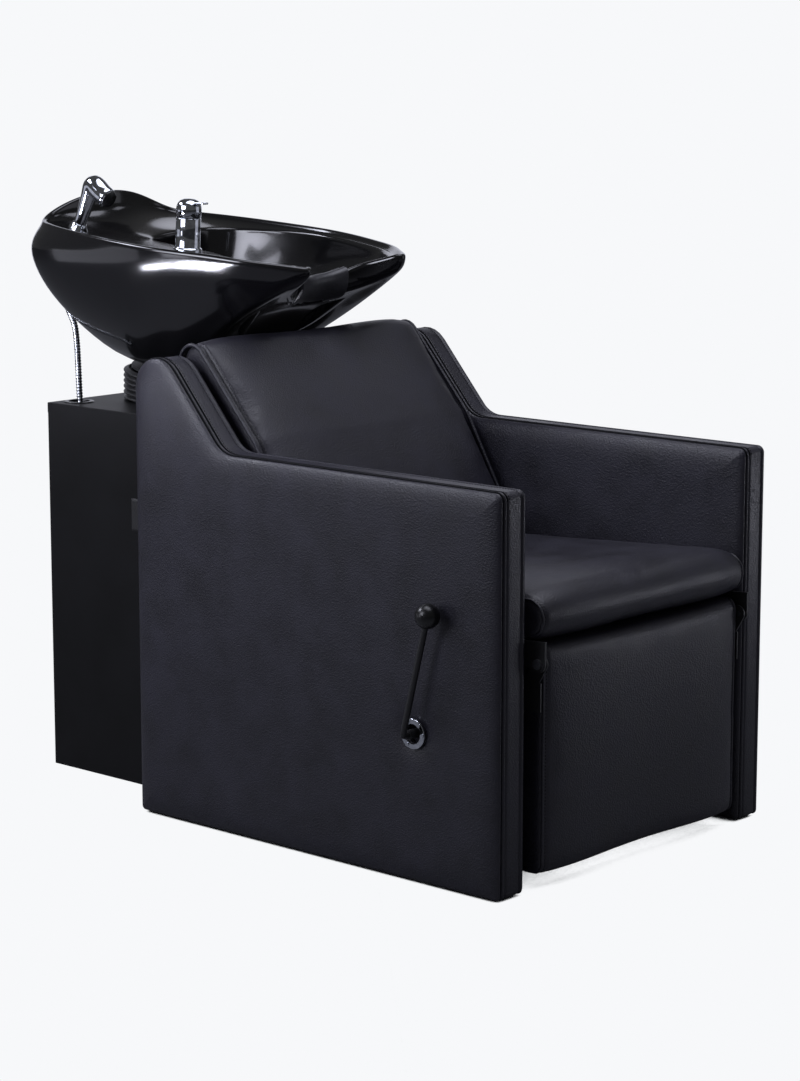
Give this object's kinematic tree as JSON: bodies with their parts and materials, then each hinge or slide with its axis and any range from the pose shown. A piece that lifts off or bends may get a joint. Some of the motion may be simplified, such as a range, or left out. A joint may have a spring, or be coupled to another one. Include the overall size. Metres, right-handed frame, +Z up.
{
  "type": "salon backwash unit",
  "caption": "Black upholstered backwash chair with a lever-lifted footrest, a plumbing cabinet and a tilting glazed bowl with mixer and hand shower",
  "frame": {"origin": "on the floor, in the middle of the four floor fixings", "axes": "+X across the chair away from the lever, +Y from the footrest to the bowl, +Z up"},
  "size_m": [0.7245, 1.2524, 1.0447],
  "materials": {
    "leatherette": "satin, fine grain",
    "plywood": "raw",
    "cabinet_lacquer": "satin lacquer",
    "black_steel": "powder coat",
    "chrome": "polished",
    "zinc_steel": "bright zinc",
    "black_plastic": "satin",
    "glazed_ceramic": "gloss glaze",
    "black_rubber": "matte",
    "neck_gel": "matte",
    "brass": "raw",
    "grey_pvc": "satin",
    "steel_braid": "woven braid",
    "tag_cloth": "woven"
  },
  "bodies": {
    "base": {"arm_core_left": "leatherette", "arm_core_right": "leatherette", "arm_inner_pad_left": "leatherette", "arm_inner_pad_right": "leatherette", "arm_outer_pad_left": "leatherette", "arm_outer_pad_right": "leatherette", "back_board": "plywood", "back_cushion": "leatherette", "base_frame": "black_steel", "bellows": "black_rubber", "cabinet_front_board": "cabinet_lacquer", "cabinet_rear_panel": "cabinet_lacquer", "cabinet_screws": "black_steel", "cabinet_sides": "cabinet_lacquer", "cabinet_top": "cabinet_lacquer", "chair_rear_panel": "leatherette", "escutcheon_screws": "chrome", "floor_glides": "black_plastic", "hinge_bolts": "zinc_steel", "hinge_hangers": "black_steel", "hose_union": "brass", "lever_escutcheon": "chrome", "seam_tag": "tag_cloth", "seat_board": "plywood", "seat_cushion": "leatherette", "seat_rails": "plywood", "shaft_bushes": "black_plastic", "shower_hose": "chrome", "supply_hoses": "steel_braid", "supply_valves": "brass", "tilt_bracket_base": "black_steel", "tilt_pins": "zinc_steel", "waste_hose": "grey_pvc", "waste_pipe": "grey_pvc"},
    "footrest": {"footrest_pad": "leatherette", "footrest_board": "plywood", "footrest_brackets": "black_steel"},
    "lever": {"lever_shaft": "black_steel", "lever_rod": "black_steel", "lever_knob": "black_plastic", "crank_arms": "black_steel"},
    "push_rods": {"push_rods": "black_steel"},
    "bowl": {"bowl": "glazed_ceramic", "neck_rest": "neck_gel", "waste_fitting": "chrome", "tilt_bracket_top": "black_steel", "mixer_base_ring": "chrome", "mixer_body": "chrome", "mixer_nut": "brass", "mixer_tails": "steel_braid", "hose_guide": "black_plastic", "shower_socket": "chrome"},
    "mixer_cap": {"mixer_cap": "chrome", "mixer_index": "black_plastic"},
    "mixer_handle": {"mixer_handle": "chrome"},
    "hand_shower": {"shower_handset": "chrome", "spray_face": "black_plastic", "hose_upper": "chrome"},
    "strainer": {"hair_strainer": "chrome"}
  },
  "joints": [
    {"name": "footrest_lift", "type": "hinge", "parent": "base", "child": "footrest", "pos_m": [0, -0.594, 0.36], "axis": [-1, 0, 0], "range_deg": [0, 85]},
    {"name": "lever_turn", "type": "hinge", "parent": "base", "child": "lever", "pos_m": [0, -0.416, 0.238], "axis": [-1, 0, 0], "range_deg": [0, 85]},
    {"name": "push_rod_swing", "type": "hinge", "parent": "lever", "child": "push_rods", "pos_m": [0, -0.364, 0.148], "axis": [-1, 0, 0], "range_deg": [-85, 0]},
    {"name": "bowl_tilt", "type": "hinge", "parent": "base", "child": "bowl", "pos_m": [0, 0.402, 0.685], "axis": [-1, 0, 0], "range_deg": [0, 12], "deforming": ["bellows", "waste_hose", "supply_hoses", "shower_hose"]},
    {"name": "mixer_turn", "type": "hinge", "parent": "bowl", "child": "mixer_cap", "pos_m": [-0.16, 0.25026, 0.9959], "axis": [0, -0.075, 0.9972], "range_deg": [-45, 45]},
    {"name": "mixer_lift", "type": "hinge", "parent": "mixer_cap", "child": "mixer_handle", "pos_m": [-0.16, 0.25026, 0.9959], "axis": [-1, 0, 0], "range_deg": [0, 22]},
    {"name": "hand_shower_lift", "type": "slide", "parent": "bowl", "child": "hand_shower", "axis": [0, -0.4226, 0.9063], "range_m": [0, 0.09]},
    {"name": "strainer_lift", "type": "slide", "parent": "bowl", "child": "strainer", "axis": [0, -0.075, 0.9972], "range_m": [0, 0.05]}
  ],
  "couplings": [
    {"joint": "lever_turn", "follows": "footrest_lift", "ratio": 1},
    {"joint": "push_rod_swing", "follows": "footrest_lift", "ratio": -1}
  ]
}
